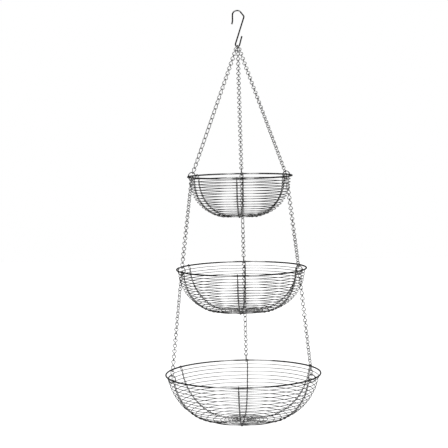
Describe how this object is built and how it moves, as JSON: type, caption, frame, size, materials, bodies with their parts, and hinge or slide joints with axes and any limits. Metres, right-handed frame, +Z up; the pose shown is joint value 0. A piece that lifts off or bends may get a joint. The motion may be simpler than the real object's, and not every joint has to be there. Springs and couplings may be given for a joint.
{
  "type": "hanging wire produce basket",
  "caption": "Tiered round wire baskets of hoops and clasping ribs, hung one below another on twisted-link chains from an S-shaped hook.",
  "frame": {"origin": "inside top of the hook's upper bend, where it rests on its ceiling support, on the axis of the baskets", "axes": "+Z up along the axis of the baskets, -Y the front rib of every basket, the hook lies in the XZ plane with its mouth towards -X"},
  "size_m": [0.3078, 0.3192, 0.8051],
  "materials": {
    "hook_wire": "bright chrome plated steel wire",
    "rim_wire": "bright chrome plated steel wire",
    "hoop_wire": "bright chrome plated steel wire",
    "rib_wire": "bright chrome plated twisted wire",
    "ring_wire": "bright chrome plated steel wire",
    "chain_wire": "bright chrome plated chain"
  },
  "bodies": {
    "hook": {"ceiling_hook": "hook_wire"},
    "top_links": {"top_links": "chain_wire"},
    "upper_tier": {"upper_chain_left": "chain_wire", "upper_chain_right": "chain_wire", "upper_chain_back": "chain_wire", "small_rim": "rim_wire", "small_wall_hoops": "hoop_wire", "small_base_hoops": "hoop_wire", "small_rib_front": "rib_wire", "small_rib_front_right": "rib_wire", "small_rib_back_right": "rib_wire", "small_rib_back": "rib_wire", "small_rib_back_left": "rib_wire", "small_rib_front_left": "rib_wire", "small_ring_left": "ring_wire", "small_ring_right": "ring_wire", "small_ring_back": "ring_wire"},
    "middle_first_link_left": {"middle_first_link_left": "chain_wire"},
    "middle_chain_left": {"middle_chain_left": "chain_wire"},
    "middle_first_link_right": {"middle_first_link_right": "chain_wire"},
    "middle_chain_right": {"middle_chain_right": "chain_wire"},
    "middle_first_link_back": {"middle_first_link_back": "chain_wire"},
    "middle_chain_back": {"middle_chain_back": "chain_wire"},
    "middle_end_link_back": {"middle_end_link_back": "chain_wire"},
    "medium_basket": {"medium_rim": "rim_wire", "medium_wall_hoops": "hoop_wire", "medium_base_hoops": "hoop_wire", "medium_rib_front": "rib_wire", "medium_rib_front_right": "rib_wire", "medium_rib_back_right": "rib_wire", "medium_rib_back": "rib_wire", "medium_rib_back_left": "rib_wire", "medium_rib_front_left": "rib_wire", "medium_ring_left": "ring_wire", "medium_ring_right": "ring_wire", "medium_ring_back": "ring_wire"},
    "lower_first_link_left": {"lower_first_link_left": "chain_wire"},
    "lower_chain_left": {"lower_chain_left": "chain_wire"},
    "lower_first_link_right": {"lower_first_link_right": "chain_wire"},
    "lower_chain_right": {"lower_chain_right": "chain_wire"},
    "lower_first_link_back": {"lower_first_link_back": "chain_wire"},
    "lower_chain_back": {"lower_chain_back": "chain_wire"},
    "lower_end_link_back": {"lower_end_link_back": "chain_wire"},
    "large_basket": {"large_rim": "rim_wire", "large_wall_hoops": "hoop_wire", "large_base_hoops": "hoop_wire", "large_rib_front": "rib_wire", "large_rib_front_right": "rib_wire", "large_rib_back_right": "rib_wire", "large_rib_back": "rib_wire", "large_rib_back_left": "rib_wire", "large_rib_front_left": "rib_wire", "large_ring_left": "ring_wire", "large_ring_right": "ring_wire", "large_ring_back": "ring_wire"}
  },
  "joints": [
    {"name": "swing_front_back", "type": "hinge", "parent": "hook", "child": "top_links", "pos_m": [0, 0, -0.0676], "axis": [1, 0, 0], "range_deg": [-20, 20]},
    {"name": "swing_side_to_side", "type": "hinge", "parent": "top_links", "child": "upper_tier", "pos_m": [0, 0, -0.07519], "axis": [0, 1, 0], "range_deg": [-10, 10]},
    {"name": "middle_left_link_follow", "type": "hinge", "parent": "upper_tier", "child": "middle_first_link_left", "pos_m": [-0.08981, -0.05541, -0.32253], "axis": [1, 0, 0], "range_deg": [-13, 13]},
    {"name": "middle_left_chain_follow", "type": "hinge", "parent": "middle_first_link_left", "child": "middle_chain_left", "pos_m": [-0.09091, -0.05605, -0.33158], "axis": [0, 1, 0], "range_deg": [-13, 13]},
    {"name": "middle_right_link_follow", "type": "hinge", "parent": "upper_tier", "child": "middle_first_link_right", "pos_m": [0.09289, -0.05007, -0.32253], "axis": [1, 0, 0], "range_deg": [-13, 13]},
    {"name": "middle_right_chain_follow", "type": "hinge", "parent": "middle_first_link_right", "child": "middle_chain_right", "pos_m": [0.09399, -0.0507, -0.33158], "axis": [0, 1, 0], "range_deg": [-13, 13]},
    {"name": "middle_sway_front_back", "type": "hinge", "parent": "upper_tier", "child": "middle_first_link_back", "pos_m": [-0.00309, 0.10548, -0.32253], "axis": [1, 0, 0], "range_deg": [-12, 12]},
    {"name": "middle_sway_side_to_side", "type": "hinge", "parent": "middle_first_link_back", "child": "middle_chain_back", "pos_m": [-0.00308, 0.10675, -0.33154], "axis": [0, 1, 0], "range_deg": [-12, 12]},
    {"name": "middle_end_link_level", "type": "hinge", "parent": "middle_chain_back", "child": "middle_end_link_back", "pos_m": [-0.00307, 0.12757, -0.48016], "axis": [0, 1, 0], "range_deg": [-13, 13]},
    {"name": "medium_basket_level", "type": "hinge", "parent": "middle_end_link_back", "child": "medium_basket", "pos_m": [-0.00307, 0.12884, -0.48917], "axis": [1, 0, 0], "range_deg": [-13, 13]},
    {"name": "lower_left_link_follow", "type": "hinge", "parent": "medium_basket", "child": "lower_first_link_left", "pos_m": [-0.11171, -0.06804, -0.50384], "axis": [1, 0, 0], "range_deg": [-13, 13]},
    {"name": "lower_left_chain_follow", "type": "hinge", "parent": "lower_first_link_left", "child": "lower_chain_left", "pos_m": [-0.11269, -0.0686, -0.51309], "axis": [0, 1, 0], "range_deg": [-13, 13]},
    {"name": "lower_right_link_follow", "type": "hinge", "parent": "medium_basket", "child": "lower_first_link_right", "pos_m": [0.11478, -0.06272, -0.50384], "axis": [1, 0, 0], "range_deg": [-13, 13]},
    {"name": "lower_right_chain_follow", "type": "hinge", "parent": "lower_first_link_right", "child": "lower_chain_right", "pos_m": [0.11575, -0.06329, -0.51309], "axis": [0, 1, 0], "range_deg": [-13, 13]},
    {"name": "lower_sway_front_back", "type": "hinge", "parent": "medium_basket", "child": "lower_first_link_back", "pos_m": [-0.00307, 0.13076, -0.50384], "axis": [1, 0, 0], "range_deg": [-12, 12]},
    {"name": "lower_sway_side_to_side", "type": "hinge", "parent": "lower_first_link_back", "child": "lower_chain_back", "pos_m": [-0.00307, 0.13189, -0.51306], "axis": [0, 1, 0], "range_deg": [-12, 12]},
    {"name": "lower_end_link_level", "type": "hinge", "parent": "lower_chain_back", "child": "lower_end_link_back", "pos_m": [-0.00306, 0.15325, -0.68794], "axis": [0, 1, 0], "range_deg": [-13, 13]},
    {"name": "large_basket_level", "type": "hinge", "parent": "lower_end_link_back", "child": "large_basket", "pos_m": [-0.00306, 0.15437, -0.69715], "axis": [1, 0, 0], "range_deg": [-13, 13]}
  ],
  "couplings": [
    {"joint": "middle_left_link_follow", "follows": "middle_sway_front_back", "ratio": 1},
    {"joint": "middle_left_chain_follow", "follows": "middle_sway_side_to_side", "ratio": 0.9526},
    {"joint": "middle_right_link_follow", "follows": "middle_sway_front_back", "ratio": 1},
    {"joint": "middle_right_chain_follow", "follows": "middle_sway_side_to_side", "ratio": 0.9526},
    {"joint": "middle_end_link_level", "follows": "middle_sway_side_to_side", "ratio": -0.82853},
    {"joint": "medium_basket_level", "follows": "middle_sway_front_back", "ratio": -0.81872},
    {"joint": "lower_left_link_follow", "follows": "lower_sway_front_back", "ratio": 1},
    {"joint": "lower_left_chain_follow", "follows": "lower_sway_side_to_side", "ratio": 0.9572},
    {"joint": "lower_right_link_follow", "follows": "lower_sway_front_back", "ratio": 1},
    {"joint": "lower_right_chain_follow", "follows": "lower_sway_side_to_side", "ratio": 0.9572},
    {"joint": "lower_end_link_level", "follows": "lower_sway_side_to_side", "ratio": -0.85434},
    {"joint": "large_basket_level", "follows": "lower_sway_front_back", "ratio": -0.84705}
  ]
}
